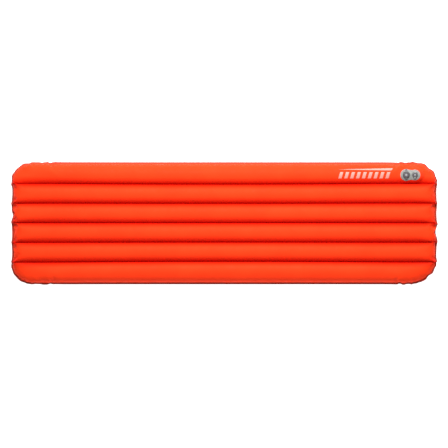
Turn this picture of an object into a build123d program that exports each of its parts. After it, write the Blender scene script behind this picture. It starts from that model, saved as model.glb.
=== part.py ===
"""Inflatable sleeping pad with six lengthwise air tubes, five inner baffles and a pair of capped valves.

Millimetres. +X runs along the pad towards the valve end, +Y across it towards the valve side, and +Z up.
The origin is on the ground, under the middle of the pad, which lies inflated with its valves on top.
"""

import os
from dataclasses import dataclass
from math import sqrt

from build123d import *

# The pad as a whole. All six tubes are round, with one radius, and the baffles cut into them where they meet.
PAD_LENGTH = 1829.0
TUBE_RADIUS = 47.5
TUBE_PITCH = 82.5  # from one seam to the next
GROUND_FLAT = 1.0  # how much of each tube the ground presses flat
MID_HEIGHT = TUBE_RADIUS - GROUND_FLAT  # height of the weld between the two sheets
WELD_WIDTH = 8.5  # the flat weld outside the air space, all round
CORNER_RADIUS = 98.0
END_ROUNDING = 43.0
SIDE_MARGIN = 3.0  # how far the block that rounds the ends clears the sides of the outer tubes
SHEET = 1.0
BAFFLE = 1.0
BAFFLE_TAB = 9.0  # the strip of a baffle that is welded to a sheet
BAFFLE_END_GAP = 34.0  # air passes from tube to tube round the ends of the baffles

TUBES = [(i - 2.5) * TUBE_PITCH for i in range(6)]
SEAMS = [(i - 2) * TUBE_PITCH for i in range(5)]
OUTER_TUBE = TUBES[-1]
AIR_HALF_WIDTH = OUTER_TUBE + TUBE_RADIUS
PAD_WIDTH = 2 * (AIR_HALF_WIDTH + WELD_WIDTH)
CREST = MID_HEIGHT + TUBE_RADIUS

# The valves stand on the crest of the +Y outer tube. Heights are above the ground.
PATCH = 0.8
PATCH_MARGIN = 11.7  # the patch outside each valve's collar
PATCH_WAIST = 40.0  # radius of the hollows between the patch's two lobes
RIM = CREST + 3.0
RIM_CHAMFER = 0.4
SEAT = RIM - 3.8
THROAT_LENGTH = 5.0
THROAT_FOOT = SEAT - THROAT_LENGTH
FLANGE = 1.2
SMALL_FILLET = 0.3

# Each cap is snapped into a strap that hinges on the lug of a tether ring
GAP = 0.05  # between faces that rest on each other
STRAP = 0.8
STRAP_FOOT = RIM + GAP
HINGE_HEIGHT = STRAP_FOOT + STRAP / 2
HINGE_BEAD = 0.6
HINGE_OFFSET = 3.5  # the hinge line outside the collar
HINGE_WIDTH = 8.0
RING_FOOT = CREST + 1.2
RING_HEIGHT = 1.0
RING_WIDTH = 2.1
RING_CHAMFER = 0.4
LUG_REACH = 4.7
LUG_WIDTH = 10.0
LUG_TOP = HINGE_HEIGHT - HINGE_BEAD - GAP
TAB_WIDTH = 9.0
TAB_CORNER = 4.4
TAB_REACH = 12.5  # the pull tab outside the collar
TAB_ROOT = 1.0  # how far the tab runs in under the cap's dome
DOME_HEIGHT = 2.2
DOME_EDGE = 0.7
DOME_BEVEL = 1.0  # the slant from the dome's side to its top
DOME_FALL = 0.2  # how far the dome's top falls towards that slant
DOME_GROOVE = 1.3
GROOVE_OUT = 0.75  # the groove's floor, as fractions of the cap's radius
GROOVE_IN = 0.48
GROOVE_OUT_SLANT = 0.4
GROOVE_IN_SLANT = 0.7
CENTRE_FALL = 0.1  # how far the middle of the dome falls towards the groove
PLUG_FOOT = SEAT + 0.3
PLUG_TAPER = 0.3
PLUG_WALL = 1.6
PLUG_ROOF = 1.0
SEAL_HEIGHT = 1.0
SEAL_DEPTH = 0.6
SEAL_GAP = 0.15  # between a seal and its seat
SEAL_FOOT = PLUG_FOOT + 1.2

# The one-way valve inside the inflation valve, and its release button
SKIRT_FOOT = 77.0
SPIDER_FOOT = 80.0
SPIDER_HEIGHT = 2.5
SPIDER_RIM = 2.3
SPOKE_WIDTH = 1.8
HUB_RADIUS = 3.0
STEM_RADIUS = 1.2
STEM_CLEARANCE = 0.1
FLAP_TOP = SPIDER_FOOT - GAP
FLAP_RADIUS = 10.4
FLAP_THICKNESS = 0.9
RELEASE_TRAVEL = 2.3
BUTTON_RADIUS = 4.0
BUTTON_HEIGHT = 2.2
BUTTON_FILLET = 0.6
BUTTON_FOOT = SPIDER_FOOT + SPIDER_HEIGHT + RELEASE_TRAVEL + 0.2
STEM_TOP = BUTTON_FOOT + 1.4

# The bars across the foot of the deflation valve
GRILLE_FOOT = 83.5
GRILLE_HEIGHT = 1.6
GRILLE_BAR = 1.5
GRILLE_ROOT = 0.5  # how far the bars run into the wall


@dataclass
class Valve:
    """One valve: its place along the pad, its radii and the height of its foot."""

    name: str
    x: float
    foot: float
    collar: float
    flange: float
    seat: float
    throat: float
    chamber: float

    @property
    def cap(self):
        """Radius of the cap's dome."""
        return self.collar - 1.5

    @property
    def plug(self):
        """Radius of the plug, which clears its seat as the cap swings."""
        return self.seat - 0.3

    @property
    def neck(self):
        """Radius of the neck that the strap's hole closes on."""
        return self.plug - 2.0

    @property
    def hinge(self):
        """Distance from the valve's axis to the hinge line."""
        return self.collar + HINGE_OFFSET

    def level(self, height):
        """The horizontal plane at this height, with its origin on the valve's axis."""
        return Plane(origin=(self.x, OUTER_TUBE, height))

    def upright(self):
        """The vertical plane through the valve's axis, along the pad, for turned profiles."""
        return Plane(origin=(self.x, OUTER_TUBE, 0), x_dir=(1, 0, 0), z_dir=(0, -1, 0))

    def axis(self):
        """The valve's own axis."""
        return Axis((self.x, OUTER_TUBE, 0), (0, 0, 1))


INFLATE = Valve("inflate", 777.5, SKIRT_FOOT, collar=13.5, flange=20.0, seat=11.0, throat=9.4, chamber=11.5)
DEFLATE = Valve("deflate", 815.0, GRILLE_FOOT, collar=11.0, flange=17.0, seat=8.7, throat=7.2, chamber=8.7)
VALVES = (INFLATE, DEFLATE)


def save(piece, name):
    """Labels the part that a finished builder holds, and writes its STEP file."""
    piece.part.label = name
    export_step(piece.part, f"parts/{name}.step")


# Pad


def air_section(inset):
    """Section across all six tubes, with every arc moved inwards by inset."""
    with BuildSketch() as section:
        with Locations(*[(y, MID_HEIGHT) for y in TUBES]):
            Circle(TUBE_RADIUS - inset)
    return section.sketch


def end_block(inset):
    """The block with rounded edges and corners that closes the ends of the tubes."""
    length = PAD_LENGTH - 2 * (WELD_WIDTH + inset)
    width = 2 * (AIR_HALF_WIDTH + SIDE_MARGIN - inset)
    height = 2 * (TUBE_RADIUS - inset)
    with BuildPart() as block:
        with BuildSketch(Plane.XY.offset(MID_HEIGHT - height / 2)):
            RectangleRounded(length, width, CORNER_RADIUS - inset)
        extrude(amount=height)
        levels = block.edges().group_by(Axis.Z)
        fillet(levels[0] + levels[-1], radius=END_ROUNDING - inset)
    return block.part


def air_body(inset):
    """All six tubes as one solid, every face moved inwards by inset."""
    section = air_section(inset)
    block = end_block(inset)
    with BuildPart() as body:
        with BuildSketch(Plane.YZ.offset(-PAD_LENGTH / 2)):
            add(section)
        extrude(amount=PAD_LENGTH)
        add(block, mode=Mode.INTERSECT)
        split(bisect_by=Plane.XY.offset(inset), keep=Keep.TOP)
    return body.part


def make_sheets():
    """The two sheets, each with its half of the weld all round, and the valves' holes in the upper one."""
    outside = air_body(0)
    inside = air_body(SHEET)
    for name, keep, weld in (("top_sheet", Keep.TOP, SHEET), ("bottom_sheet", Keep.BOTTOM, -SHEET)):
        with BuildPart() as sheet:
            add(outside)
            split(bisect_by=Plane.XY.offset(MID_HEIGHT), keep=keep)
            with BuildSketch(Plane.XY.offset(MID_HEIGHT)):
                RectangleRounded(PAD_LENGTH, PAD_WIDTH, CORNER_RADIUS + WELD_WIDTH)
            extrude(amount=weld)
            add(inside, mode=Mode.SUBTRACT)
            if keep == Keep.TOP:
                for valve in VALVES:
                    with BuildSketch(valve.level(MID_HEIGHT)):
                        Circle(valve.collar)
                    extrude(amount=TUBE_RADIUS, mode=Mode.SUBTRACT)
        save(sheet, name)


def make_baffle(number, seam):
    """A web between the sheets, with a tab along each edge that is welded to a sheet."""
    side = -1 if seam > 0 else 1
    section = air_section(SHEET)
    with BuildPart() as baffle:
        with BuildSketch(Plane.YZ.offset(BAFFLE_END_GAP - PAD_LENGTH / 2)):
            with Locations((seam + side * BAFFLE_TAB / 2, MID_HEIGHT)):
                Rectangle(BAFFLE_TAB, 2 * TUBE_RADIUS)
            with Locations((seam + side * TUBE_PITCH / 2, MID_HEIGHT)):
                Circle(TUBE_RADIUS - SHEET - BAFFLE, mode=Mode.SUBTRACT)
            with Locations((seam, MID_HEIGHT)):
                Rectangle(BAFFLE, 2 * TUBE_RADIUS)
            add(section, mode=Mode.INTERSECT)
        extrude(amount=PAD_LENGTH - 2 * BAFFLE_END_GAP)
    save(baffle, f"baffle_{number}")


# Valves


def saddle(outline, outer, inner):
    """A curved shell about the outer tube's axis, cut to this outline as seen from above."""
    with BuildPart() as shell:
        with BuildSketch(Plane.YZ.offset(PAD_LENGTH / 4)):
            with Locations((OUTER_TUBE, MID_HEIGHT)):
                Circle(outer)
                Circle(inner, mode=Mode.SUBTRACT)
        extrude(amount=PAD_LENGTH / 4)
        with BuildSketch(Plane.XY.offset(MID_HEIGHT + TUBE_RADIUS / 2)):
            add(outline)
        extrude(amount=TUBE_RADIUS, mode=Mode.INTERSECT)
    return shell.part


def make_patch():
    """The two-lobed patch on the upper sheet round the collars."""
    with BuildSketch() as lobes:
        for valve in VALVES:
            with Locations((valve.x, OUTER_TUBE)):
                Circle(valve.collar + PATCH_MARGIN)
        crossings = lobes.vertices().filter_by(lambda v: INFLATE.x < v.X < DEFLATE.x)
        fillet(crossings, radius=PATCH_WAIST)
        for valve in VALVES:
            with Locations((valve.x, OUTER_TUBE)):
                Circle(valve.collar, mode=Mode.SUBTRACT)
    shell = saddle(lobes.sketch, TUBE_RADIUS + PATCH, TUBE_RADIUS)
    with BuildPart() as patch:
        add(shell)
    save(patch, "valve_patch")


def make_base(valve):
    """The moulded base: a flange under the sheet, and a collar with a seat and a throat."""
    inside = TUBE_RADIUS - SHEET
    with BuildSketch() as disc:
        with Locations((valve.x, OUTER_TUBE)):
            Circle(valve.flange)
    flange = saddle(disc.sketch, inside, inside - FLANGE)
    with BuildPart() as base:
        add(flange)
        with BuildSketch(valve.level(valve.foot)):
            Circle(valve.collar)
        extrude(amount=RIM - valve.foot)
        chamfer(base.edges().group_by(Axis.Z)[-1], length=RIM_CHAMFER)
        with BuildSketch(valve.level(RIM)):
            Circle(valve.seat)
        extrude(amount=SEAT - RIM, mode=Mode.SUBTRACT)
        with BuildSketch(valve.level(SEAT)):
            Circle(valve.throat)
        extrude(amount=-THROAT_LENGTH, mode=Mode.SUBTRACT)
        with BuildSketch(valve.level(THROAT_FOOT)):
            Circle(valve.chamber)
        extrude(amount=valve.foot - THROAT_FOOT, mode=Mode.SUBTRACT)
        if valve is DEFLATE:
            bar = 2 * (valve.chamber + GRILLE_ROOT)
            with BuildSketch(valve.level(valve.foot)):
                Rectangle(bar, GRILLE_BAR)
                Rectangle(GRILLE_BAR, bar)
            extrude(amount=GRILLE_HEIGHT)
    save(base, f"{valve.name}_base")


def make_tether_ring(valve):
    """The ring round the collar, with the lug that carries the cap's hinge."""
    with BuildPart() as ring:
        with BuildSketch(valve.level(RING_FOOT)):
            Circle(valve.collar + RING_WIDTH)
            Circle(valve.collar, mode=Mode.SUBTRACT)
        extrude(amount=RING_HEIGHT)
        chamfer(ring.edges().group_by(Axis.Z)[-1].sort_by(SortBy.RADIUS)[-1], length=RING_CHAMFER)
        with BuildSketch(valve.level(RING_FOOT)):
            with Locations((0, -valve.collar - LUG_REACH / 2)):
                Rectangle(LUG_WIDTH, LUG_REACH)
            Circle(valve.collar, mode=Mode.SUBTRACT)
        extrude(amount=LUG_TOP - RING_FOOT)
    save(ring, f"{valve.name}_tether_ring")


def make_strap(valve):
    """The thin strap that holds the cap: a ring under the dome, a hinge strip and a pull tab."""
    tab_radius = sqrt(valve.collar**2 + (HINGE_HEIGHT - MID_HEIGHT) ** 2)
    with BuildSketch() as tab_outline:
        with Locations((valve.x, OUTER_TUBE + TAB_REACH)):
            RectangleRounded(TAB_WIDTH, 2 * valve.collar, TAB_CORNER)
    shell = saddle(tab_outline.sketch, tab_radius + STRAP / 2, tab_radius - STRAP / 2)
    with BuildPart() as tab:
        add(shell)
        split(bisect_by=Plane.XZ.offset(TAB_ROOT - OUTER_TUBE - valve.collar), keep=Keep.BOTTOM)
    with BuildPart() as strap:
        with BuildSketch(valve.level(STRAP_FOOT)):
            Circle(valve.collar)
            with Locations((0, -valve.hinge / 2)):
                Rectangle(HINGE_WIDTH, valve.hinge)
        extrude(amount=STRAP)
        add(tab.part)
        with BuildSketch(Plane.YZ.offset(valve.x - HINGE_WIDTH / 2)):
            with Locations((OUTER_TUBE - valve.hinge, HINGE_HEIGHT)):
                Circle(HINGE_BEAD)
        extrude(amount=HINGE_WIDTH)
        with BuildSketch(valve.level(STRAP_FOOT)):
            Circle(valve.neck)
        extrude(amount=STRAP, mode=Mode.SUBTRACT)
    save(strap, f"{valve.name}_strap")


def make_cap(valve):
    """The cap: a dome with a ring groove, a neck, and a hollow plug with a groove for its seal."""
    strap_top = STRAP_FOOT + STRAP
    dome_top = strap_top + DOME_HEIGHT
    groove_floor = dome_top - DOME_GROOVE
    groove_out = GROOVE_OUT * valve.cap
    groove_in = GROOVE_IN * valve.cap
    with BuildPart() as cap:
        with BuildSketch(valve.upright()):
            with BuildLine():
                Polyline(
                    (0, STRAP_FOOT - PLUG_ROOF),
                    (valve.plug - PLUG_WALL, STRAP_FOOT - PLUG_ROOF),
                    (valve.plug - PLUG_WALL, PLUG_FOOT),
                    (valve.plug - PLUG_TAPER, PLUG_FOOT),
                    (valve.plug - PLUG_TAPER / 2, SEAL_FOOT),
                    (valve.plug - SEAL_DEPTH, SEAL_FOOT),
                    (valve.plug - SEAL_DEPTH, SEAL_FOOT + SEAL_HEIGHT),
                    (valve.plug, SEAL_FOOT + SEAL_HEIGHT),
                    (valve.plug, STRAP_FOOT),
                    (valve.neck, STRAP_FOOT),
                    (valve.neck, strap_top),
                    (valve.cap, strap_top),
                    (valve.cap, strap_top + DOME_EDGE),
                    (valve.cap - DOME_BEVEL, dome_top - DOME_FALL),
                    (groove_out + GROOVE_OUT_SLANT, dome_top),
                    (groove_out, groove_floor),
                    (groove_in, groove_floor),
                    (groove_in - GROOVE_IN_SLANT, dome_top - CENTRE_FALL),
                    (0, dome_top),
                    close=True,
                )
            make_face()
        revolve(axis=valve.axis())
    save(cap, f"{valve.name}_cap")


def make_seal(valve):
    """The seal ring in the plug's groove."""
    with BuildPart() as seal:
        with BuildSketch(valve.level(SEAL_FOOT)):
            Circle(valve.seat - SEAL_GAP)
            Circle(valve.plug - SEAL_DEPTH, mode=Mode.SUBTRACT)
        extrude(amount=SEAL_HEIGHT)
        outer_rims = seal.edges().filter_by(GeomType.CIRCLE).sort_by(SortBy.RADIUS)[-2:]
        fillet(outer_rims, radius=SMALL_FILLET)
    save(seal, f"{valve.name}_seal")


def make_spider():
    """The spoked disc across the inflation valve that the flap closes against."""
    with BuildPart() as spider:
        with BuildSketch(INFLATE.level(SPIDER_FOOT)):
            Circle(INFLATE.chamber)
            Circle(INFLATE.chamber - SPIDER_RIM, mode=Mode.SUBTRACT)
            Circle(HUB_RADIUS)
            with PolarLocations(INFLATE.chamber / 2, 3, start_angle=90):
                Rectangle(INFLATE.chamber - SPIDER_RIM / 2, SPOKE_WIDTH)
            Circle(STEM_RADIUS + STEM_CLEARANCE, mode=Mode.SUBTRACT)
        extrude(amount=SPIDER_HEIGHT)
    save(spider, "inflate_spider")


def make_flap():
    """The soft flap under the spider, with the stem that guides it."""
    flap_foot = FLAP_TOP - FLAP_THICKNESS
    with BuildPart() as flap:
        with BuildSketch(INFLATE.level(flap_foot)):
            Circle(FLAP_RADIUS)
        extrude(amount=FLAP_THICKNESS)
        fillet(flap.edges(), radius=SMALL_FILLET)
        with BuildSketch(INFLATE.level(flap_foot + FLAP_THICKNESS / 2)):
            Circle(STEM_RADIUS)
        extrude(amount=STEM_TOP - flap_foot - FLAP_THICKNESS / 2)
    save(flap, "inflate_flap")


def make_release_button():
    """The button on the flap's stem. Pressing it opens the flap to let a little air out."""
    with BuildPart() as button:
        with BuildSketch(INFLATE.level(BUTTON_FOOT)):
            Circle(BUTTON_RADIUS)
        extrude(amount=BUTTON_HEIGHT)
        fillet(button.edges().group_by(Axis.Z)[-1], radius=BUTTON_FILLET)
        with BuildSketch(INFLATE.level(BUTTON_FOOT)):
            Circle(STEM_RADIUS)
        extrude(amount=STEM_TOP - BUTTON_FOOT, mode=Mode.SUBTRACT)
    save(button, "inflate_release_button")


def main():
    """Builds every piece and writes it to parts/."""
    os.makedirs("parts", exist_ok=True)
    make_sheets()
    for number, seam in enumerate(SEAMS, start=1):
        make_baffle(number, seam)
    make_patch()
    for valve in VALVES:
        make_base(valve)
        make_tether_ring(valve)
        make_strap(valve)
        make_cap(valve)
        make_seal(valve)
    make_spider()
    make_flap()
    make_release_button()


main()
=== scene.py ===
"""Looks of the inflatable sleeping pad: simulated fabric, print, valve details, materials and light.

Metres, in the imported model's frame: +X runs along the pad towards the valves, +Y across it and +Z up.
"""

from dataclasses import dataclass
from math import asin, cos, hypot, pi, radians, sin, sqrt

import bpy
import numpy as np
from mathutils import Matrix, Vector
from mathutils.bvhtree import BVHTree


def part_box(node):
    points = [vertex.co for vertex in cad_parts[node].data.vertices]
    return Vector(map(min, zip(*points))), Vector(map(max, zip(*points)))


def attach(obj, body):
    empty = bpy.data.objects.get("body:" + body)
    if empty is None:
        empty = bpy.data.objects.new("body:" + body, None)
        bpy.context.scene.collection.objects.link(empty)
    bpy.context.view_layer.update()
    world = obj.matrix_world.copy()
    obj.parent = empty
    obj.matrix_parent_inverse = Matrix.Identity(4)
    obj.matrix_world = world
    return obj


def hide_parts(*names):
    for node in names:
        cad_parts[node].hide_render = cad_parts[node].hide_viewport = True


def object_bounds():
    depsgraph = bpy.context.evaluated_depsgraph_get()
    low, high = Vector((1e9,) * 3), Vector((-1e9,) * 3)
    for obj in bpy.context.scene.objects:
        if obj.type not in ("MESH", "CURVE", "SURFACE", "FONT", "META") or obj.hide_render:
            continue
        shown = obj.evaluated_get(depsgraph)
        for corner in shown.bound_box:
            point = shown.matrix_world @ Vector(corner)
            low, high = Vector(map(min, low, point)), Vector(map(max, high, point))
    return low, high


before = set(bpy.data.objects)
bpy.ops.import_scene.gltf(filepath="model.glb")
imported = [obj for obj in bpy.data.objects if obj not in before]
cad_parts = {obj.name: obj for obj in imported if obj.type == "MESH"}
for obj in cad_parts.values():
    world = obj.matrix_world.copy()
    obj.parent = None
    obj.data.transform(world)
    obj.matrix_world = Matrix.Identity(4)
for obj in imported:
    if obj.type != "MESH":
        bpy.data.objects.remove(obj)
cad_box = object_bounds()

# The tubes, read from the frame. All are round, with their axes level with the weld between the two sheets.
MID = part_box("bottom_sheet")[1].z
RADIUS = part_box("top_sheet")[1].z - MID
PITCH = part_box("baffle_2")[0].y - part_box("baffle_1")[0].y
SEAM_COUNT = 5
SIDE_TUBES = SEAM_COUNT // 2  # tubes between the middle seam and the outermost one
OUTER_TUBE = (SIDE_TUBES + 0.5) * PITCH  # y of the outer tubes' axes
LENGTH = cad_box[1].x - cad_box[0].x
WELD = (cad_box[1].y - cad_box[0].y) / 2 - OUTER_TUBE - RADIUS

# One flat sheet before it is inflated
HALF_ANGLE = asin(PITCH / 2 / RADIUS)
TUBE_CLOTH = 2 * RADIUS * HALF_ANGLE  # cloth from one seam to the next
SIDE_CLOTH = RADIUS * (pi / 2 + HALF_ANGLE)  # cloth from the outermost seam to the weld
FLAT_HALF_WIDTH = SIDE_TUBES * TUBE_CLOTH + SIDE_CLOTH
FLAT_HALF = np.array([0.93, FLAT_HALF_WIDTH])  # the length that comes out right when the ends pull in
FLAT_CORNER = np.array([0.185, 0.14])  # how far a corner's rounding reaches along and across the sheet
FLAT_STRAIGHT = FLAT_HALF - FLAT_CORNER  # where the corners' rounding begins
BAFFLE_GAP = 0.012  # from a simulated baffle's end to the weld, along the flat sheet

# The cloth's grid: fine rows, and columns that are fine near the ends, where the cloth gathers
ROWS_PER_TUBE = 14
ROWS_PER_SIDE = 18
FINE_STEP = 0.0065
FINE_REACH = 0.2
COARSE_STEP = 0.025
STEP_GROWTH = 1.15

# The weld all round: the upper sheet's band, and the wider band of the lower sheet that shows outside it
UPPER_WELD = 0.0046
WELD_LINES = (UPPER_WELD, WELD)
RIPPLE = 0.0001  # height of a slight ripple in the weld, so that the cloth doesn't start out perfectly even
RIPPLE_WAVE = 0.03
SECOND_RIPPLE = 0.6  # height of a second ripple, as a share of the first
SECOND_WAVE = 1.37  # its wavelength, also as a share
SECOND_SHIFT = 1.1  # its phase at the start, in radians
FABRIC = 0.0004
LEAST_HEIGHT = 1e-5  # keeps divisions safe where the sheet meets the weld
ROUNDING = 1e-9

# The outline, weld included, that the pad settles into
CORNERS = ((0.086, 0.086), (0.118, 0.094))  # radii at the far end, then the valves' end, each from -Y to +Y
SCALLOP = 0.0065  # how far each tube's end dips between its seams
SCALLOP_FADE = 4  # power that fades the dips where the outline turns a corner
OUTLINE_REACH = 0.09  # how far inside the edge the cloth moves with it

# How many times a line along the weld is smoothed
ROOT_ROUNDS = 2
OUTLINE_ROUNDS = 12
DRIFT_ROUNDS = 6
PATH_ROUNDS = 8
OUTWARD_ROUNDS = 3
DRIFT_SHARE = 0.45  # how much of the simulated weld's tilt is kept

# Cloth simulation
FRAMES = 24
QUALITY = 6
POINT_MASS = 0.01
PRESSURE = 60.0
TENSION = 60.0
COMPRESSION = 12.0
BENDING = 0.2
WELD_BENDING = 1.0


# Small helpers


def smooth_step(low, high, values):
    """0 below low, 1 above high, and a smooth rise between."""
    t = np.clip((values - low) / (high - low), 0, 1)
    return t * t * (3 - 2 * t)


def unit(vectors):
    """The same directions, one unit long."""
    return vectors / np.linalg.norm(vectors, axis=-1, keepdims=True)


def smooth_loop(points, rounds):
    """A closed loop of points, each drawn towards its neighbours this many times."""
    for _ in range(rounds):
        points = points / 2 + (np.roll(points, 1, axis=0) + np.roll(points, -1, axis=0)) / 4
    return points


def new_object(name, points, faces, edges=()):
    """A mesh object of these points and faces."""
    mesh = bpy.data.meshes.new(name)
    faces = [list(map(int, face)) for face in faces]
    mesh.from_pydata(np.asarray(points).tolist(), np.asarray(edges).tolist(), faces)
    mesh.update()
    obj = bpy.data.objects.new(name, mesh)
    bpy.context.scene.collection.objects.link(obj)
    return obj


def shade_smooth(obj):
    """Smooth shading on every face."""
    obj.data.polygons.foreach_set("use_smooth", [True] * len(obj.data.polygons))


def add_subdivision(obj):
    """One level of subdivision, the same in the viewport and in renders."""
    modifier = obj.modifiers.new("Subdivision", "SUBSURF")
    modifier.levels = modifier.render_levels = 1


def add_thickness(obj, thickness, offset=-1.0):
    """Gives a sheet its thickness: inwards at offset -1, outwards at 1, and both ways at 0."""
    modifier = obj.modifiers.new("Thickness", "SOLIDIFY")
    modifier.thickness = thickness
    modifier.offset = offset


# The flat pattern of one sheet


@dataclass
class Pattern:
    """One flat sheet as a grid of points, and the weld's lines outside it."""

    columns: np.ndarray  # places along the sheet
    rows: np.ndarray  # places across it
    seams: list  # which rows the baffles are welded to
    grid: np.ndarray  # the number of each grid point, by column and row
    loop: np.ndarray  # the grid points round the edge, where the weld begins
    outward: np.ndarray  # directions out of the sheet at the loop
    flat: np.ndarray  # the flat place of every point, the weld's lines last

    @property
    def rim(self):
        """The points of the weld: the loop and its lines outside the grid."""
        return np.concatenate([self.loop, np.arange(self.grid.size, len(self.flat))])


def flat_rows():
    """Places across the flat sheet, and which of them are seams."""
    parts = [np.linspace(-FLAT_HALF_WIDTH, -SIDE_TUBES * TUBE_CLOTH, ROWS_PER_SIDE + 1)]
    for tube in range(SEAM_COUNT - 1):
        start = (tube - SIDE_TUBES) * TUBE_CLOTH
        parts.append(np.linspace(start, start + TUBE_CLOTH, ROWS_PER_TUBE + 1)[1:])
    parts.append(np.linspace(SIDE_TUBES * TUBE_CLOTH, FLAT_HALF_WIDTH, ROWS_PER_SIDE + 1)[1:])
    return np.concatenate(parts), [ROWS_PER_SIDE + i * ROWS_PER_TUBE for i in range(SEAM_COUNT)]


def flat_columns():
    """Places along the flat sheet, closer together near its ends."""
    steps = []
    step = FINE_STEP
    while sum(steps) < FLAT_HALF[0]:
        if sum(steps) > FINE_REACH:
            step = min(step * STEP_GROWTH, COARSE_STEP)
        steps.append(step)
    inward = np.cumsum(steps) * FLAT_HALF[0] / sum(steps)
    half = FLAT_HALF[0] - np.concatenate([[0], inward])
    return np.concatenate([-half, half[-2::-1]])


def make_pattern():
    """The flat sheet, with rounded corners and evenly spread points."""
    columns = flat_columns()
    rows, seams = flat_rows()
    flat = np.stack(np.meshgrid(columns, rows, indexing="ij"), -1)
    share = np.clip((abs(flat) - FLAT_STRAIGHT) / FLAT_CORNER, 0, 1)
    rounded = np.sign(flat) * (FLAT_STRAIGHT + FLAT_CORNER * share * np.sqrt(1 - share[..., ::-1] ** 2 / 2))
    flat = np.where(share.min(axis=-1, keepdims=True) > 0, rounded, flat)
    grid = np.arange(flat[..., 0].size).reshape(flat.shape[:2])
    loop = np.concatenate([grid[:, 0], grid[-1, 1:], grid[-2::-1, -1], grid[0, -2:0:-1]])
    flat = flat.reshape(-1, 2)
    edge = flat[loop]
    outward = unit((edge - np.clip(edge, -FLAT_STRAIGHT, FLAT_STRAIGHT)) / FLAT_CORNER**2)
    flat = np.concatenate([flat] + [edge + outward * line for line in WELD_LINES])
    return Pattern(columns, rows, seams, grid, loop, outward, flat)


def grid_faces(pattern):
    """The faces of the grid, seen from above."""
    g = pattern.grid
    return np.stack([g[:-1, :-1], g[1:, :-1], g[1:, 1:], g[:-1, 1:]], -1).reshape(-1, 4)


def weld_faces(pattern, lines):
    """The faces of the weld, out to this many of its lines."""
    count = len(pattern.loop)
    inner = pattern.loop
    strips = []
    for line in range(lines):
        outer = pattern.grid.size + line * count + np.arange(count)
        strips.append(np.stack([inner, outer, np.roll(outer, -1), np.roll(inner, -1)], -1))
        inner = outer
    return np.concatenate(strips)


# Inflation


def wrapped(across):
    """Where a place across the flat sheet lies on the round tubes: y, and height above the weld."""
    tube = np.clip(np.floor(abs(across) / TUBE_CLOTH), 0, SIDE_TUBES) + 0.5
    angle = (abs(across) - tube * TUBE_CLOTH) / RADIUS
    return np.sign(across) * (tube * PITCH + RADIUS * np.sin(angle)), RADIUS * np.cos(angle)


def rest_shape(pattern):
    """The sheet rolled onto endless round tubes, which keeps every length of the flat cloth."""
    y, height = wrapped(pattern.flat[:, 1])
    return np.stack([pattern.flat[:, 0], y, height], -1)


def start_shape(pattern):
    """The rolled sheet, its ends brought down to the weld in quarter circles, with a ripple in the weld."""
    grid = pattern.flat[: pattern.grid.size]
    y, height = wrapped(grid[:, 1])
    height = np.maximum(height, LEAST_HEIGHT)
    into_corner = np.clip((abs(grid[:, 1]) - FLAT_STRAIGHT[1]) / FLAT_CORNER[1], 0, 1)
    end = FLAT_STRAIGHT[0] + FLAT_CORNER[0] * np.sqrt(1 - into_corner**2)
    quarter = pi * height / 2
    turn = np.clip((quarter - np.maximum(end - abs(grid[:, 0]), 0)) / height, 0, pi / 2)
    x = np.where(turn > 0, end - quarter + height * np.sin(turn), abs(grid[:, 0])) * np.sign(grid[:, 0])
    start = np.stack([x, y, height * np.cos(turn)], -1)

    edge = pattern.flat[pattern.loop]
    along = np.concatenate([[0], np.cumsum(np.linalg.norm(np.diff(edge, axis=0), axis=1))])
    phase = 2 * pi * along / RIPPLE_WAVE
    ripple = RIPPLE * (np.sin(phase) + SECOND_RIPPLE * np.sin(phase / SECOND_WAVE + SECOND_SHIFT))
    start[pattern.loop, 2] = ripple
    parts = [start]
    for line in WELD_LINES:
        step = np.column_stack([pattern.outward * line, ripple * line / WELD])
        parts.append(start[pattern.loop] + step)
    return np.concatenate(parts)


def mirrored(points, pattern, keep_rim):
    """The lower sheet, a mirror image of the upper one, except for the weld that they share."""
    below = points * (1, 1, -1)
    if keep_rim:
        below[pattern.rim] = points[pattern.rim]
    return below


def inflate(pattern):
    """Sews the sheets and baffles together, blows them up, and returns the points of both sheets."""
    rest, start = rest_shape(pattern), start_shape(pattern)
    count = len(start)
    both_start = np.concatenate([start, mirrored(start, pattern, keep_rim=True)])
    upper = np.concatenate([grid_faces(pattern), weld_faces(pattern, len(WELD_LINES))])
    inside = np.nonzero(abs(pattern.columns) <= FLAT_HALF[0] - BAFFLE_GAP)[0]
    webs = []
    for seam in pattern.seams:
        line = pattern.grid[inside, seam]
        webs.append(np.stack([line[:-1], line[1:], line[1:] + count, line[:-1] + count], -1))
    faces = np.concatenate([upper, (upper + count)[:, ::-1], *webs])
    sewing = np.stack([pattern.rim, pattern.rim + count], -1)
    cloth = new_object("cloth", both_start, faces, sewing)
    points = simulate(cloth, pattern, np.concatenate([rest, mirrored(rest, pattern, keep_rim=False)]))
    bpy.data.objects.remove(cloth)
    return points[:count], points[count:]


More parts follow.
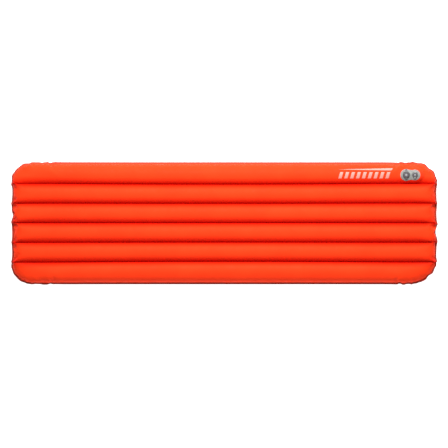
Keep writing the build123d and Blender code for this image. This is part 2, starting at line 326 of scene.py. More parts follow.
def simulate(cloth, pattern, rest):
    """Runs Blender's cloth on the sewn pad, and returns where its points end."""
    count = len(pattern.flat)
    cloth.shape_key_add(name="Basis")
    key = cloth.shape_key_add(name="Rest")
    key.data.foreach_set("co", rest.ravel())
    rim = np.concatenate([pattern.rim, pattern.rim + count])
    seams = pattern.grid[:, pattern.seams].ravel()
    held = np.concatenate([rim, seams, seams + count])
    add_group(cloth, "air", np.setdiff1d(np.arange(2 * count), held))
    add_group(cloth, "weld", rim)
    add_group(cloth, "all", np.arange(2 * count))
    # Cloth takes its rest shape from the key only when a modifier that can change the mesh stands before it
    keep = cloth.modifiers.new("Keep", "MASK")
    keep.vertex_group = "all"
    keep.threshold = 0.0
    modifier = cloth.modifiers.new("Cloth", "CLOTH")
    modifier.collision_settings.use_collision = False
    settings = modifier.settings
    settings.quality = QUALITY
    settings.mass = POINT_MASS
    settings.tension_stiffness = TENSION
    settings.compression_stiffness = COMPRESSION
    settings.bending_stiffness = BENDING
    settings.vertex_group_bending = "weld"
    settings.bending_stiffness_max = WELD_BENDING
    settings.use_pressure = True
    settings.uniform_pressure_force = PRESSURE
    settings.vertex_group_pressure = "air"
    settings.use_sewing_springs = True
    settings.rest_shape_key = key
    settings.effector_weights.gravity = 0
    for number in range(1, FRAMES + 1):
        bpy.context.scene.frame_set(number)
    shape = cloth.evaluated_get(bpy.context.evaluated_depsgraph_get())
    points = np.empty(6 * count)
    shape.data.vertices.foreach_get("co", points)
    return points.reshape(-1, 3)


def add_group(obj, name, points):
    """A vertex group with these points at full weight."""
    obj.vertex_groups.new(name=name).add([int(i) for i in points], 1.0, "REPLACE")


def fit(upper, lower, pattern):
    """Takes out the few percent that the cloth's springs gave, so the tubes lie where the frame has them."""
    loop = pattern.loop
    upper[loop] = lower[loop] = (upper[loop] + lower[loop]) / 2
    root = smooth_loop(upper[loop], ROOT_ROUNDS)
    centre = (root.max(0) + root.min(0)) / 2
    middle = upper[pattern.grid[len(pattern.columns) // 2]]
    span = middle[pattern.seams[-1], 1] - middle[pattern.seams[0], 1]
    crests = [middle[a:b, 2].max() for a, b in zip(pattern.seams, pattern.seams[1:])]
    scale = np.array([
        (LENGTH / 2 - WELD) / (np.ptp(root[:, 0]) / 2),
        (SEAM_COUNT - 1) * PITCH / span,
        RADIUS / np.mean(crests),
    ])
    centre[2] = 0
    for points in (upper, lower):
        points[:] = (points - centre) * scale + (0, 0, MID)


def outline_gap(points):
    """How far these points of the weld's root are from the pad's outline, and the way out to it."""
    low, high = cad_box
    ends = np.where(points[:, 0] < 0, 0, 1)
    sides = np.where(points[:, 1] < 0, 0, 1)
    corner = np.array(CORNERS)[ends, sides] - WELD
    half = np.array([high.x, high.y]) - WELD
    beyond = np.maximum(abs(points) - half + corner[:, None], 0)
    reach = np.linalg.norm(beyond, axis=1)
    way = np.where(reach[:, None] > 0, beyond / np.maximum(reach, ROUNDING)[:, None], 0) * np.sign(points)
    hollow = SCALLOP * np.sin(pi * (points[:, 1] / PITCH)) ** 2
    hollow *= abs(way[:, 0]) ** SCALLOP_FADE * (abs(points[:, 1]) < SIDE_TUBES * PITCH)
    return corner - reach - hollow, way


def settle_outline(upper, lower, pattern):
    """Draws the edges into the outline: straight sides, rounded corners, and ends that dip between seams."""
    loop = pattern.loop
    root = smooth_loop((upper[loop] + lower[loop]) / 2, ROOT_ROUNDS)[:, :2]
    gap, way = outline_gap(root)
    move = smooth_loop(way * gap[:, None], OUTLINE_ROUNDS)
    apart = np.linalg.norm(pattern.flat[:, None] - pattern.flat[loop], axis=2)
    share = 1 - smooth_step(0, OUTLINE_REACH, apart.min(axis=1))
    share[pattern.rim] = 1
    step = move[apart.argmin(axis=1)] * share[:, None]
    upper[:, :2] += step
    lower[:, :2] += step


def lay_weld(upper, lower, pattern):
    """Lays the weld's two layers flat on each other along the edge that the air space ended up with."""
    count = len(pattern.loop)
    loop = pattern.loop
    outermost = pattern.grid.size + (len(WELD_LINES) - 1) * count + np.arange(count)
    root = smooth_loop((upper[loop] + lower[loop]) / 2, ROOT_ROUNDS)
    drift = unit(smooth_loop((upper[outermost] + lower[outermost]) / 2 - root, DRIFT_ROUNDS))
    path = smooth_loop(root, PATH_ROUNDS)
    tangent = unit(np.roll(path, -1, axis=0) - np.roll(path, 1, axis=0))
    level = unit(np.stack([tangent[:, 1], -tangent[:, 0], 0 * tangent[:, 0]], -1))
    outward = unit(smooth_loop(drift * DRIFT_SHARE + level * (1 - DRIFT_SHARE), OUTWARD_ROUNDS))
    up = unit(np.cross(outward, tangent))
    up *= np.sign(up[:, 2:])
    for points, side in ((upper, 1), (lower, -1)):
        points[loop] = root + up * side * FABRIC
        for number, line in enumerate(WELD_LINES):
            ring = pattern.grid.size + number * count + np.arange(count)
            points[ring] = root + outward * line + up * side * FABRIC


def press_on_floor(points):
    """Presses flat what the pad rests on."""
    points[:, 2] = np.maximum(points[:, 2], 0)


# Valves' places


@dataclass
class Valve:
    """Where a valve stands on the outer tube, and its radii."""

    name: str
    x: float
    collar: float
    patch: float


def make_valve(name, side):
    """Reads a valve's place and radii from the frame. side is the end of the patch that it is on."""
    low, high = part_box(name + "_strap")
    x = (low.x + high.x) / 2
    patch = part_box("valve_patch")[side].x
    return Valve(name, x, (high.x - low.x) / 2, abs(patch - x))


VALVES = (make_valve("inflate", 0), make_valve("deflate", 1))
PATCH_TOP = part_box("valve_patch")[1].z - MID  # radius of the patch's outside
SEAT_REACH = (0.027, 0.04)  # from the valves' line: the cloth is held on the tube inside, and free outside
CLOTH_GAP = 0.0001  # between the cloth and what lies on it


def on_tube(points, radius=None):
    """Heights of the outer tube's surface, or of a surface about the same axis, over these points."""
    radius = radius or RADIUS
    return MID + np.sqrt(np.maximum(radius**2 - (points[:, 1] - OUTER_TUBE) ** 2, 0))


def seat_valves(upper):
    """Eases the cloth round the valves onto the round tube that the patch and the valve bases fit."""
    start, end = VALVES[0].x, VALVES[1].x
    beside = upper[:, 0] - np.clip(upper[:, 0], start, end)
    distance = np.hypot(beside, upper[:, 1] - OUTER_TUBE)
    held = 1 - smooth_step(*SEAT_REACH, distance)
    held[upper[:, 2] < MID] = 0
    target = on_tube(upper) - CLOTH_GAP
    upper[:, 2] += (target - upper[:, 2]) * held


def cut_valve_holes(upper, faces):
    """Takes away the cloth inside the collars, and draws the cut edge up to them."""
    for valve in VALVES:
        centre = np.array([valve.x, OUTER_TUBE])
        hole = valve.collar + FABRIC
        out = upper[:, :2] - centre
        distance = np.linalg.norm(out, axis=1)
        inside = (distance < hole) & (upper[:, 2] > MID)
        cut = inside[faces].any(axis=1)
        edge = np.setdiff1d(faces[cut].ravel(), np.nonzero(inside)[0])
        upper[edge, :2] = centre + out[edge] * (hole / distance[edge])[:, None]
        upper[edge, 2] = on_tube(upper[edge]) - CLOTH_GAP
        faces = faces[~cut]
    return faces


# Fabric pieces


FOLD_LIMIT = 0.05  # the cloth's distances from its seams are stored up to this


def seam_distances(pattern):
    """How far each point of the flat sheet is from the next seam on its +Y side, and on its -Y side."""
    across = pattern.flat[pattern.grid][..., 1]
    steps = across[:, None, pattern.seams] - across[..., None]
    distances = []
    for way in (steps, -steps):
        nearest = np.where(way >= -ROUNDING, way, FOLD_LIMIT).min(axis=-1).clip(0, FOLD_LIMIT).ravel()
        distances.append(np.concatenate([nearest] + [nearest[pattern.loop]] * len(WELD_LINES)))
    return distances


def weld_distance(pattern):
    """Roughly how far each point of the flat sheet is inside the weld, and less than 0 on the weld itself."""
    beyond = np.maximum(abs(pattern.flat) - FLAT_STRAIGHT, 0) / FLAT_CORNER
    distance = (1 - np.linalg.norm(beyond, axis=1)) * FLAT_CORNER.min()
    outside = pattern.flat[pattern.grid.size:]
    distance[pattern.grid.size:] = -np.repeat(WELD_LINES, len(outside) // len(WELD_LINES))
    return distance


def add_cloth_marks(obj, pattern, used):
    """Stores the flat sheet as UVs in metres, and how far each point is from a seam and from the weld."""
    mesh = obj.data
    corners = np.empty(len(mesh.loops), dtype=np.int32)
    mesh.loops.foreach_get("vertex_index", corners)
    layer = mesh.uv_layers.new(name="flat")
    layer.data.foreach_set("uv", pattern.flat[used][corners].ravel())
    above, below = seam_distances(pattern)
    for name, values in (("seam_above", above), ("seam_below", below), ("weld", weld_distance(pattern))):
        attribute = mesh.attributes.new(name, "FLOAT", "POINT")
        attribute.data.foreach_set("value", values[used].astype(np.float32))


def crease_seams(obj, pattern, used):
    """Keeps the cloth folded sharply where the baffles hold it."""
    mesh = obj.data
    ends = np.empty(2 * len(mesh.edges), dtype=np.int32)
    mesh.edges.foreach_get("vertices", ends)
    ends = used[ends.reshape(-1, 2)]
    rows = np.where(ends < pattern.grid.size, ends % len(pattern.rows), -1)
    sharp = (rows[:, 0] == rows[:, 1]) & np.isin(rows[:, 0], pattern.seams)
    mesh.attributes.new("crease_edge", "FLOAT", "EDGE").data.foreach_set("value", sharp.astype(np.float32))
    mesh.attributes.new("sharp_edge", "BOOLEAN", "EDGE").data.foreach_set("value", sharp)


def make_fabric(name, points, faces, pattern):
    """A sheet of fabric: a smooth skin with its own thickness, inside the given surface."""
    used = np.unique(faces)
    obj = new_object(name, points[used], np.searchsorted(used, faces))
    add_cloth_marks(obj, pattern, used)
    crease_seams(obj, pattern, used)
    shade_smooth(obj)
    add_subdivision(obj)
    add_thickness(obj, FABRIC)
    return obj


def make_top_fabric(upper, pattern):
    """The upper sheet, cut open at the valves, out to the first line of the weld."""
    faces = np.concatenate([grid_faces(pattern), weld_faces(pattern, 1)])
    faces = cut_valve_holes(upper, faces)
    top = make_fabric("top_fabric", upper, faces, pattern)
    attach(top, "pad")
    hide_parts("top_sheet")
    return top


def make_bottom_fabric(lower, pattern):
    """The lower sheet, whose part of the weld is wider and shows outside the upper one."""
    faces = np.concatenate([grid_faces(pattern), weld_faces(pattern, len(WELD_LINES))])[:, ::-1]
    bottom = make_fabric("bottom_fabric", lower, faces, pattern)
    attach(bottom, "pad")
    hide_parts("bottom_sheet")
    return bottom


BAFFLE_FILM = 0.0003
BAFFLE_INSET = 0.0012  # how far a baffle stays inside the cloth's middle surface
STRIP_SHARE = 0.8  # of the cloth's first row beside the seam
BAFFLE_LEVELS = 6
BAFFLE_END = 0.05  # from a finished baffle's end to the weld, along the flat sheet


def make_baffle(number, upper, lower, pattern):
    """One web between the sheets, with a narrow strip along each edge that is welded to the cloth."""
    seam = pattern.seams[number]
    tube_axis = (number - SIDE_TUBES + 0.5) * PITCH  # of the tube on the seam's +Y side
    along = FLAT_HALF[0] - abs(pattern.columns)
    columns = np.nonzero(along >= BAFFLE_END)[0]
    strip_share = STRIP_SHARE * smooth_step(BAFFLE_END, 2 * BAFFLE_END, along[columns])[:, None]
    edges, strips = [], []
    for points, up in ((upper, 1), (lower, -1)):
        edge = points[pattern.grid[columns, seam]] - (0, 0, up * BAFFLE_INSET)
        beside = points[pattern.grid[columns, seam + 1]]
        inward = np.stack([0 * along[columns], tube_axis - beside[:, 1], MID - beside[:, 2]], -1)
        edges.append(edge)
        strips.append(edge + (beside + unit(inward) * BAFFLE_INSET - edge) * strip_share)
    web = [edges[0] + (edges[1] - edges[0]) * level for level in np.linspace(0, 1, BAFFLE_LEVELS)]
    lines = np.stack([strips[0], *web, strips[1]], axis=1)
    index = np.arange(lines.shape[0] * lines.shape[1]).reshape(lines.shape[:2])
    faces = np.stack([index[:-1, :-1], index[1:, :-1], index[1:, 1:], index[:-1, 1:]], -1).reshape(-1, 4)
    baffle = new_object(f"baffle_film_{number + 1}", lines.reshape(-1, 3), faces)
    shade_smooth(baffle)
    add_thickness(baffle, BAFFLE_FILM, offset=0)
    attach(baffle, "pad")
    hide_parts(f"baffle_{number + 1}")
    return baffle


# Print on the upper sheet: a plain tapered bar over a row of slanted dashes

PRINT_START = 0.487
PRINT_END = 0.722
PRINT_BOTTOM = OUTER_TUBE - 0.016
PRINT_TOP = OUTER_TUBE + 0.029
PRINT_STEP = 0.0025
PRINT_FILM = 0.0003
PRINT_PROUD = 0.00015
DASHES = 9

# Shares of the print's height, except for the dash's width, which is a share of the dashes' pitch
BAR_HEIGHT = 0.24
BAR_TAPER = 0.12
BAR_SLANT = 0.2
BAR_GAP = 0.14
DASH_WIDTH = 0.56
DASH_LEAN = 0.9  # of the bar's slant


def print_shapes():
    """The corners of each printed shape, in order round it: x and y in the plan."""
    height = PRINT_TOP - PRINT_BOTTOM
    bar_foot = PRINT_TOP - BAR_HEIGHT * height
    taper = BAR_TAPER * height
    slant = BAR_SLANT * height
    lean = slant * DASH_LEAN
    shapes = [[
        (PRINT_START, bar_foot + taper), (PRINT_END - slant, bar_foot),
        (PRINT_END, PRINT_TOP), (PRINT_START, PRINT_TOP - taper),
    ]]
    dash_top = bar_foot - BAR_GAP * height
    pitch = (PRINT_END - PRINT_START - slant) / DASHES
    for number in range(DASHES):
        left = PRINT_START + number * pitch
        right = left + DASH_WIDTH * pitch
        shapes.append([
            (left, PRINT_BOTTOM), (right, PRINT_BOTTOM),
            (right + lean, dash_top), (left + lean, dash_top),
        ])
    return shapes


def cloth_heights(obj):
    """A function that gives the height of a piece's top surface over a place in the plan."""
    tree = BVHTree.FromObject(obj, bpy.context.evaluated_depsgraph_get())
    down = Vector((0, 0, -1))
    return lambda x, y: tree.ray_cast(Vector((x, y, 1)), down)[0].z


def make_print(top):
    """The printed shapes, as a thin film that follows the cloth."""
    height_at = cloth_heights(top)
    points, faces = [], []
    for corners in print_shapes():
        a, b, c, d = np.array(corners)
        across = max(2, round(np.linalg.norm(b - a) / PRINT_STEP))
        up = max(2, round(np.linalg.norm(d - a) / PRINT_STEP))
        first = len(points)
        for j in range(up + 1):
            for i in range(across + 1):
                u, v = i / across, j / up
                x, y = (a * (1 - u) + b * u) * (1 - v) + (d * (1 - u) + c * u) * v
                points.append((x, y, height_at(x, y) + PRINT_PROUD))
        for j in range(up):
            for i in range(across):
                corner = first + j * (across + 1) + i
                faces.append((corner, corner + 1, corner + across + 2, corner + across + 1))
    film = new_object("print_stripes", points, faces)
    shade_smooth(film)
    add_thickness(film, PRINT_FILM)
    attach(film, "pad")
    return film


# Valve details


def new_curve(name, lines, bevel, cyclic=False):
    """Round beads along these lines of points, as one mesh piece."""
    curve = bpy.data.curves.new(name, "CURVE")
    curve.dimensions = "3D"
    curve.bevel_depth = bevel
    curve.bevel_resolution = 3
    curve.use_fill_caps = True
    for line in lines:
        spline = curve.splines.new("POLY")
        spline.points.add(len(line) - 1)
        spline.points.foreach_set("co", np.column_stack([line, np.ones(len(line))]).ravel())
        spline.use_cyclic_u = cyclic
        spline.use_smooth = True
    made = bpy.data.objects.new(name + "_line", curve)
    mesh = bpy.data.meshes.new_from_object(made)
    bpy.data.objects.remove(made)
    mesh.name = name
    obj = bpy.data.objects.new(name, mesh)
    bpy.context.scene.collection.objects.link(obj)
    shade_smooth(obj)
    return obj


PATCH_WAIST = 0.04  # radius of the hollows between the patch's lobes
PATCH_LINE_INSET = 0.0022
PATCH_BEAD = 0.00045
LEFT_LOBE_POINTS = 60
RIGHT_LOBE_POINTS = 50
HOLLOW_POINTS = 16


def arc(centre, radius, start, end, count):
    """Points along an arc in the plan, from one angle to another."""
    angles = np.linspace(start, end, count)
    return np.stack([centre[0] + radius * np.cos(angles), centre[1] + radius * np.sin(angles)], -1)


def patch_outline(inset):
    """The patch's outline, moved inwards: two lobes, joined by hollows that are tangent to both."""
    left, right = VALVES
    span = right.x - left.x
    to_left, to_right = left.patch + PATCH_WAIST, right.patch + PATCH_WAIST
    hollow_x = (span**2 + to_left**2 - to_right**2) / (2 * span)
    hollow_y = sqrt(to_left**2 - hollow_x**2)
    left_turn = np.arctan2(hollow_y, hollow_x)
    right_turn = np.arctan2(hollow_y, hollow_x - span)
    centre_left, centre_right = (left.x, OUTER_TUBE), (right.x, OUTER_TUBE)
    above = (left.x + hollow_x, OUTER_TUBE + hollow_y)
    below = (left.x + hollow_x, OUTER_TUBE - hollow_y)
    waist = PATCH_WAIST + inset
    return np.concatenate([
        arc(centre_left, left.patch - inset, left_turn, 2 * pi - left_turn, LEFT_LOBE_POINTS),
        arc(below, waist, pi - left_turn, pi - right_turn, HOLLOW_POINTS)[1:],
        arc(centre_right, right.patch - inset, -right_turn, right_turn, RIGHT_LOBE_POINTS)[1:],
        arc(above, waist, pi + right_turn, pi + left_turn, HOLLOW_POINTS)[1:-1],
    ])


def make_patch_weld():
    """The raised line that was pressed into the patch along its edge when it was welded on."""
    plan = patch_outline(PATCH_LINE_INSET)
    line = np.column_stack([plan, on_tube(plan, PATCH_TOP)])
    bead = new_curve("valve_patch_weld", [line], PATCH_BEAD, cyclic=True)
    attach(bead, "pad")
    return bead


GRIP_WAVES = 30
GRIP_WAVE_DEPTH = 0.00028
GRIP_POINTS = 8  # points in each wave

# The band's section: how far outside the cap, how far above the strap, and how much of the ribs' depth
GRIP_SECTION = (
    (-0.0004, 0.0001, 0),
    (0, 0.0001, 1),
    (0, 0.0006, 1),
    (-0.0007, 0.0013, 0.6),
    (-0.0011, 0.0013, 0),
)


def make_cap_grip(valve):
    """A ribbed band round the side of a cap, for the fingers."""
    low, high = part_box(valve.name + "_cap")
    radius = (high.x - low.x) / 2
    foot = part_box(valve.name + "_strap")[1].z
    angles = np.linspace(0, 2 * pi, GRIP_WAVES * GRIP_POINTS, endpoint=False)
    wave = GRIP_WAVE_DEPTH * (1 + np.cos(GRIP_WAVES * angles))
    rings = []
    for out, up, ribbed in GRIP_SECTION:
        r = radius + out + wave * ribbed
        x, y = valve.x + r * np.cos(angles), OUTER_TUBE + r * np.sin(angles)
        rings.append(np.stack([x, y, 0 * r + foot + up], -1))
    count = len(angles)
    faces = []
    for k in range(len(rings)):
        a, b = k * count, (k + 1) % len(rings) * count
        faces += [(a + i, a + (i + 1) % count, b + (i + 1) % count, b + i) for i in range(count)]
    grip = new_object(valve.name + "_cap_grip", np.concatenate(rings), faces)
    shade_smooth(grip)
    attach(grip, valve.name + "_cap")
    return grip


RIDGE_COUNT = 3
RIDGE_LENGTH = 0.0052
RIDGE_POINTS = 7
RIDGE_BEAD = 0.00035
RIDGE_PITCH = 0.0021
RIDGE_START = 0.0028  # from the tab's end to the first ridge


def make_tab_ridges(valve):
    """Small ridges across a pull tab."""
    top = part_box(valve.name + "_strap")[1]
    strap_radius = hypot(valve.collar, top.z - MID)
    lines = []
    for number in range(RIDGE_COUNT):
        y = top.y - RIDGE_START - number * RIDGE_PITCH
        x = np.linspace(-RIDGE_LENGTH / 2, RIDGE_LENGTH / 2, RIDGE_POINTS)
        line = np.stack([valve.x + x, 0 * x + y, 0 * x], -1)
        line[:, 2] = on_tube(line, strap_radius)
        lines.append(line)
    ridges = new_curve(valve.name + "_tab_ridges", lines, RIDGE_BEAD)
    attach(ridges, valve.name + "_cap")
    return ridges


# Materials


class Material:
    """A Principled material whose nodes are added one by one."""

    def __init__(self, name, roughness, **sockets):
        self.material = bpy.data.materials.new(name)
        self.material.use_nodes = True
        self.nodes = self.material.node_tree.nodes
        self.links = self.material.node_tree.links
        self.shader = self.nodes["Principled BSDF"]
        self.shader.inputs["Roughness"].default_value = roughness
        for socket, value in sockets.items():
            self.shader.inputs[socket.replace("_", " ")].default_value = value

    def node(self, kind, **inputs):
        """A node of this kind, with these input sockets linked or set."""
        made = self.nodes.new("ShaderNode" + kind)
        for socket, value in inputs.items():
            self.feed(made.inputs[socket.replace("_", " ")], value)
        return made

    def feed(self, socket, value):
        """Links an output to a socket, or sets the socket's value."""
        if isinstance(value, bpy.types.NodeSocket):
            self.links.new(value, socket)
        elif hasattr(value, "__len__"):
            socket.default_value = (*value, 1)[:4] if len(socket.default_value) == 4 else value
        else:
            socket.default_value = value

    def math(self, operation, first, second=0.0):
        """The result of this operation on two numbers or outputs."""
        made = self.nodes.new("ShaderNodeMath")
        made.operation = operation
        self.feed(made.inputs[0], first)
        self.feed(made.inputs[1], second)
        return made.outputs[0]

    def mix(self, share, first, second):
        """A colour between two, from 0, the first, to 1, the second."""
        made = self.nodes.new("ShaderNodeMix")
        made.data_type = "RGBA"
        self.feed(made.inputs[0], share)
        self.feed(made.inputs[6], first)
        self.feed(made.inputs[7], second)
        return made.outputs[2]

    def between(self, value, low, high, from_low=0.0, from_high=1.0):
        """A value's range turned into another, clamped."""
        made = self.node("MapRange", Value=value)
        ends = {"From Min": from_low, "From Max": from_high, "To Min": low, "To Max": high}
        for socket, number in ends.items():
            self.feed(made.inputs[socket], number)
        return made.outputs[0]

    def fade(self, value, start, end):
        """1 where a value is below start, 0 where it is above end, and a straight fall between."""
        return self.between(value, 1.0, 0.0, start, end)

    def noise(self, scale, detail=3.0):
        """Noise from 0 to 1, in the piece's own coordinates."""
        where = self.node("TexCoord").outputs["Object"]
        return self.node("TexNoise", Vector=where, Scale=scale, Detail=detail).outputs[0]

    def attribute(self, name):
        """A value stored on the mesh."""
        made = self.nodes.new("ShaderNodeAttribute")
        made.attribute_name = name
        return made.outputs["Fac"]

    def colour(self, value):
        """Sets or links the base colour."""
        self.feed(self.shader.inputs["Base Color"], value)

    def roughness(self, value):
        """Links the roughness."""
        self.feed(self.shader.inputs["Roughness"], value)

    def bump(self, height, distance, strength=1.0):
        """Adds a bump of this depth in metres on top of any other."""
        made = self.node("Bump", Strength=strength, Distance=distance, Height=height)
        before = self.shader.inputs["Normal"].links
        if before:
            self.links.new(before[0].from_socket, made.inputs["Normal"])
        self.links.new(made.outputs[0], self.shader.inputs["Normal"])

    def use(self, *pieces):
        """Gives this material to the pieces."""
        for piece in pieces:
            piece.data.materials.clear()
            piece.data.materials.append(self.material)


THREAD = 0.0007  # from one thread to the next but one
RIPSTOP = 0.006  # from one thicker thread to the next


def weave(material):
    """Heights of a plain weave and of its thicker ripstop threads, in the flat sheet's own coordinates."""
    flat = material.nodes.new("ShaderNodeUVMap")
    flat.uv_map = "flat"
    split = material.node("SeparateXYZ", Vector=flat.outputs[0])
    threads, cords = [], []
    for axis in "XY":
        place = split.outputs[axis]
        wave = material.math("SINE", material.math("MULTIPLY", place, 2 * pi / THREAD))
        threads.append(material.math("MULTIPLY", wave, wave))
        nearest = material.math("PINGPONG", place, RIPSTOP / 2)
        cords.append(material.between(nearest, 1.0, 0.0, 0.0, THREAD))
    plain = material.math("MULTIPLY", threads[0], threads[1])
    ripstop = material.math("MAXIMUM", cords[0], cords[1])
    return plain, ripstop


# The upper sheet's colours, and how far from a seam or the weld, in metres, each begins and ends. The colours
# beside and on the seams are painted shade.
ORANGE = ((0.92, 0.039, 0.0075), (0.94, 0.044, 0.0085))
ORANGE_CORD = (1.0, 0.06, 0.015)
# Painted shade: darker, redder cloth beside each seam, on the flank towards the key light and on the flank
# away from it
LIT_FLANK_PAINTED_SHADE, LIT_FLANK_SHADE_REACH = (0.46, 0.002, 0.0), (0.001, 0.03)
SHADED_FLANK_PAINTED_SHADE, SHADED_FLANK_SHADE_REACH = (0.66, 0.004, 0.0001), (0.003, 0.036)
# Painted shade: the darkest red, in the crease along each seam
SEAM_PAINTED_SHADE, SEAM_SHADE_REACH = (0.42, 0.001, 0.0), (0.001, 0.006)
TOP_WELD, TOP_WELD_REACH = (0.42, 0.052, 0.027), (-0.0004, 0.0008)
CORDS_RISE = (0.006, 0.02)  # the ripstop threads stand out only away from the seams


def paint_top(piece):
    """Orange-red coated ripstop with a faint satin sheen, and painted shade that darkens and reddens the
    cloth in the folds along its seams.
    """
    m = Material("orange_ripstop", 0.6, Specular_IOR_Level=0.03, Sheen_Weight=0.05, Sheen_Roughness=0.4,
                 Sheen_Tint=(1.0, 0.6, 0.5, 1))
    plain, ripstop = weave(m)
    above, below = m.attribute("seam_above"), m.attribute("seam_below")
    nearest = m.math("MINIMUM", above, below)
    colour = m.mix(m.between(m.noise(9.0), 0, 1, 0.35, 0.65), *ORANGE)
    colour = m.mix(m.between(ripstop, 0, 0.1), colour, ORANGE_CORD)
    # Painted shade beside each seam, on both flanks, then in the seam's crease
    colour = m.mix(m.fade(above, *LIT_FLANK_SHADE_REACH), colour, LIT_FLANK_PAINTED_SHADE)
    colour = m.mix(m.fade(below, *SHADED_FLANK_SHADE_REACH), colour, SHADED_FLANK_PAINTED_SHADE)
    colour = m.mix(m.fade(nearest, *SEAM_SHADE_REACH), colour, SEAM_PAINTED_SHADE)
    m.colour(m.mix(m.fade(m.attribute("weld"), *TOP_WELD_REACH), colour, TOP_WELD))
    m.roughness(m.between(m.noise(45.0, 5.0), 0.5, 0.68, 0.3, 0.7))
    m.bump(m.noise(60.0, 4.0), 0.0006, 0.2)
    m.bump(plain, 0.00008, 0.3)
    m.bump(m.math("MULTIPLY", ripstop, m.between(nearest, 0.0, 1.0, *CORDS_RISE)), 0.0001, 0.2)
    m.use(piece)


CHARCOAL = ((0.02, 0.017, 0.0165), (0.042, 0.036, 0.034))
CHARCOAL_CORD = (0.06, 0.052, 0.05)
BOTTOM_WELD, BOTTOM_WELD_REACH = (0.42, 0.06, 0.04), (-0.001, 0.0)


def paint_bottom(piece):
    """Dark charcoal coated fabric, with a deeper weave, the dust of the ground, and the weld's margin."""
    m = Material("charcoal_fabric", 0.6, Specular_IOR_Level=0.35)
    plain, ripstop = weave(m)
    dust = m.between(m.noise(26.0, 6.0), 0, 1, 0.45, 0.75)
    colour = m.mix(dust, *CHARCOAL)
    colour = m.mix(m.between(ripstop, 0, 0.25), colour, CHARCOAL_CORD)
    m.colour(m.mix(m.fade(m.attribute("weld"), *BOTTOM_WELD_REACH), colour, BOTTOM_WELD))
    m.roughness(m.between(dust, 0.5, 0.72))
    m.bump(plain, 0.0001, 0.7)
    m.bump(ripstop, 0.00012, 0.7)
    m.use(piece)


def paint_baffles(pieces):
    """Pale film with faint stretch marks."""
    m = Material("baffle_film_pale", 0.35)
    marks = m.noise(70.0, 4.0)
    m.colour(m.mix(marks, (0.55, 0.54, 0.51), (0.68, 0.67, 0.64)))
    m.roughness(m.between(marks, 0.28, 0.45))
    m.bump(marks, 0.0003, 0.4)
    m.use(*pieces)


def paint_print(piece):
    """Pale ink, worn in specks where a little more of the orange shows through."""
    m = Material("pale_ink", 0.5)
    worn = m.between(m.noise(900.0, 2.0), 0, 0.5, 0.55, 0.75)
    m.colour(m.mix(worn, (0.8, 0.27, 0.225), (0.85, 0.16, 0.09)))
    m.bump(m.noise(1400.0, 2.0), 0.00005, 0.5)
    m.use(piece)


GRAIN = 900.0  # of moulded parts, as a noise scale


def moulded(name, colour, lighter, roughness):
    """Moulded plastic or rubber: a fine grain, slight clouding, and paler where it is rubbed."""
    m = Material(name, roughness)
    clouds = m.noise(120.0, 3.0)
    rubbed = m.between(m.node("NewGeometry").outputs["Pointiness"], 0, 1, 0.52, 0.62)
    base = m.mix(m.between(clouds, 0, 0.4, 0.35, 0.7), colour, lighter)
    m.colour(m.mix(m.math("MULTIPLY", rubbed, 0.6), base, lighter))
    m.roughness(m.between(m.noise(GRAIN / 3, 3.0), roughness - 0.07, roughness + 0.08, 0.3, 0.7))
    m.bump(m.noise(GRAIN, 2.0), 0.00004, 0.5)
    return m


PATCH_GREY = ((0.25, 0.26, 0.24), (0.17, 0.175, 0.165))
PATCH_THREAD = 0.0011


def paint_patch(*pieces):
    """Light grey rubbery fabric, with a fine close weave."""
    m = Material("grey_patch", 0.58, Specular_IOR_Level=0.4)
    place = m.node("TexCoord").outputs["Object"]
    split = m.node("SeparateXYZ", Vector=place)
    waves = [m.math("SINE", m.math("MULTIPLY", split.outputs[axis], 2 * pi / PATCH_THREAD)) for axis in "XY"]
    cloth = m.math("MULTIPLY", waves[0], waves[1])
    smudge = m.between(m.noise(85.0, 5.0), 0, 1, 0.35, 0.7)
    m.colour(m.mix(smudge, *PATCH_GREY))
    m.roughness(m.between(smudge, 0.5, 0.66))
    m.bump(cloth, 0.00008, 0.6)
    m.use(*pieces)


def cad(*names):
    """The CAD nodes with these names."""
    return [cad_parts[name] for name in names]


# Moulded materials: colour, the colour where rubbed, roughness, and the CAD nodes made of each
MOULDED = {
    "dark_valve_body": (
        (0.03, 0.03, 0.033), (0.075, 0.072, 0.075), 0.4, ("inflate_base", "deflate_base", "inflate_spider")),
    "dark_strap": (
        (0.035, 0.03, 0.034), (0.09, 0.08, 0.085), 0.48,
        ("inflate_strap", "inflate_tether_ring", "deflate_tether_ring")),
    "grey_strap": ((0.13, 0.125, 0.125), (0.24, 0.235, 0.23), 0.48, ("deflate_strap",)),
    "seal_rubber_black": ((0.012, 0.012, 0.012), (0.03, 0.03, 0.03), 0.6, ("inflate_seal", "deflate_seal")),
    "flap_silicone_milky": ((0.5, 0.5, 0.48), (0.62, 0.62, 0.6), 0.42, ("inflate_flap",)),
    "grey_button": ((0.16, 0.16, 0.16), (0.26, 0.26, 0.255), 0.4, ("inflate_release_button",)),
    "dark_grip": ((0.05, 0.045, 0.05), (0.1, 0.095, 0.1), 0.45, ()),
}


def paint_valves(grips, ridges):
    """Valve parts, each kind in its own plastic."""
    details = {"dark_strap": ridges[:1], "grey_strap": ridges[1:], "dark_grip": grips}
    for name, (colour, lighter, roughness, nodes) in MOULDED.items():
        moulded(name, colour, lighter, roughness).use(*cad(*nodes), *details.get(name, ()))
    for valve in VALVES:
        paint_cap(valve)


CAP_GREY = ((0.055, 0.05, 0.055), (0.09, 0.082, 0.088))
# Painted reflection: the middle of each cap is paler, as if the light shone on its dome
CAP_PAINTED_REFLECTION = ((0.2, 0.185, 0.195), (0.29, 0.275, 0.285))
CAP_REFLECTION_REACH = (0.42, 0.5)  # shares of the cap's radius


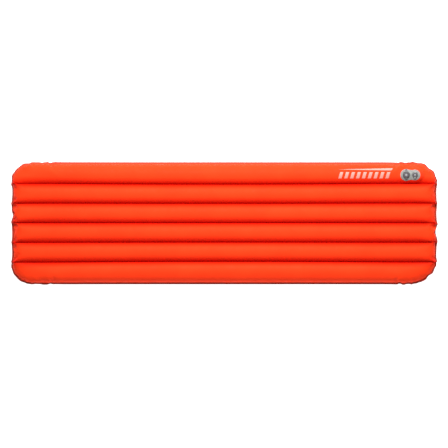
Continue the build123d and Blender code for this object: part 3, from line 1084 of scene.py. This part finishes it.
def paint_cap(valve):
    """Dark grey plastic, with a painted reflection that makes the middle of the cap paler."""
    m = Material(valve.name + "_cap_grey", 0.42)
    place = m.node("TexCoord").outputs["Object"]
    centred = m.node("VectorMath", Vector=place)
    centred.operation = "SUBTRACT"
    centred.inputs[1].default_value = (valve.x, OUTER_TUBE, 0)
    flat = m.node("VectorMath", Vector=centred.outputs[0])
    flat.operation = "MULTIPLY"
    flat.inputs[1].default_value = (1, 1, 0)
    length = m.node("VectorMath", Vector=flat.outputs[0])
    length.operation = "LENGTH"
    low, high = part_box(valve.name + "_cap")
    share = m.math("DIVIDE", length.outputs["Value"], (high.x - low.x) / 2)
    clouds = m.between(m.noise(240.0, 4.0), 0, 1, 0.3, 0.7)
    outer, inner = m.mix(clouds, *CAP_GREY), m.mix(clouds, *CAP_PAINTED_REFLECTION)
    # Painted reflection: paler towards the middle of the cap
    m.colour(m.mix(m.fade(share, *CAP_REFLECTION_REACH), outer, inner))
    m.roughness(m.between(clouds, 0.34, 0.5))
    m.bump(m.noise(1500.0, 2.0), 0.00004, 0.5)
    m.use(*cad(valve.name + "_cap"))


# Stage

FLOOR_HALF = 60.0
SURROUND = 0.22  # brightness of the pale surround
LIGHT_X = 0.15
LIGHT_DISTANCE = 2.8
LIGHT_SIZE = (2.6, 0.8)
KEY_TILT = radians(38.5)  # off the vertical, towards the valves' side
KEY_POWER = 163.0
FILL_TILT = radians(60.0)  # off the vertical, away from the valves' side
FILL_POWER = 17.0
CAMERA_DISTANCE = 14.0
CAMERA_REACH = 100
VIEW_WIDTH = 1.921  # at the height of the weld
VIEW_CENTRE = (-0.0013, -0.0036)


def make_floor():
    """A plain floor with a glow of its own, which keeps it evenly white."""
    corners = [(-FLOOR_HALF, -FLOOR_HALF, 0), (FLOOR_HALF, -FLOOR_HALF, 0),
               (FLOOR_HALF, FLOOR_HALF, 0), (-FLOOR_HALF, FLOOR_HALF, 0)]
    floor = new_object("floor", corners, [(0, 1, 2, 3)])
    m = Material("white_floor", 0.9, Base_Color=(0.9, 0.9, 0.9, 1), Emission_Color=(1, 1, 1, 1),
                 Emission_Strength=1.0, Specular_IOR_Level=0.0)
    m.use(floor)


def add_area_light(name, location, size, power, target):
    """A soft rectangular light that faces the target."""
    data = bpy.data.lights.new(name, "AREA")
    data.shape = "RECTANGLE"
    data.size, data.size_y = size
    data.energy = power
    light = bpy.data.objects.new(name, data)
    light.location = location
    light.rotation_euler = (Vector(target) - Vector(location)).to_track_quat("-Z", "Y").to_euler()
    bpy.context.scene.collection.objects.link(light)
    return light


def light_scene():
    """A broad key light high on the valves' side, a faint low one across from it, and a pale surround."""
    for name, tilt, power in (("key", KEY_TILT, KEY_POWER), ("fill", -FILL_TILT, FILL_POWER)):
        place = (LIGHT_X, LIGHT_DISTANCE * sin(tilt), LIGHT_DISTANCE * cos(tilt))
        add_area_light(name, place, LIGHT_SIZE, power, target=(LIGHT_X, 0, 0))
    world = bpy.data.worlds.new("surround")
    world.use_nodes = True
    background = world.node_tree.nodes["Background"]
    background.inputs["Color"].default_value = (1, 1, 1, 1)
    background.inputs["Strength"].default_value = SURROUND
    bpy.context.scene.world = world


def make_camera():
    """A long lens that looks straight down on the pad."""
    data = bpy.data.cameras.new("camera")
    data.lens = data.sensor_width * (CAMERA_DISTANCE - MID) / VIEW_WIDTH
    data.clip_end = CAMERA_REACH
    camera = bpy.data.objects.new("camera", data)
    camera.location = (*VIEW_CENTRE, CAMERA_DISTANCE)
    bpy.context.scene.collection.objects.link(camera)
    bpy.context.scene.camera = camera


def main():
    """Makes every piece, paints it, and sets the stage."""
    pattern = make_pattern()
    upper, lower = inflate(pattern)
    fit(upper, lower, pattern)
    settle_outline(upper, lower, pattern)
    lay_weld(upper, lower, pattern)
    seat_valves(upper)
    press_on_floor(lower)
    baffles = [make_baffle(number, upper, lower, pattern) for number in range(SEAM_COUNT)]
    top = make_top_fabric(upper, pattern)
    bottom = make_bottom_fabric(lower, pattern)
    stripes = make_print(top)
    patch_weld = make_patch_weld()
    grips = [make_cap_grip(valve) for valve in VALVES]
    ridges = [make_tab_ridges(valve) for valve in VALVES]

    paint_top(top)
    paint_bottom(bottom)
    paint_baffles(baffles)
    paint_print(stripes)
    paint_patch(*cad("valve_patch"), patch_weld)
    paint_valves(grips, ridges)

    make_floor()
    light_scene()
    make_camera()
    bpy.context.scene.view_settings.view_transform = "Standard"


main()
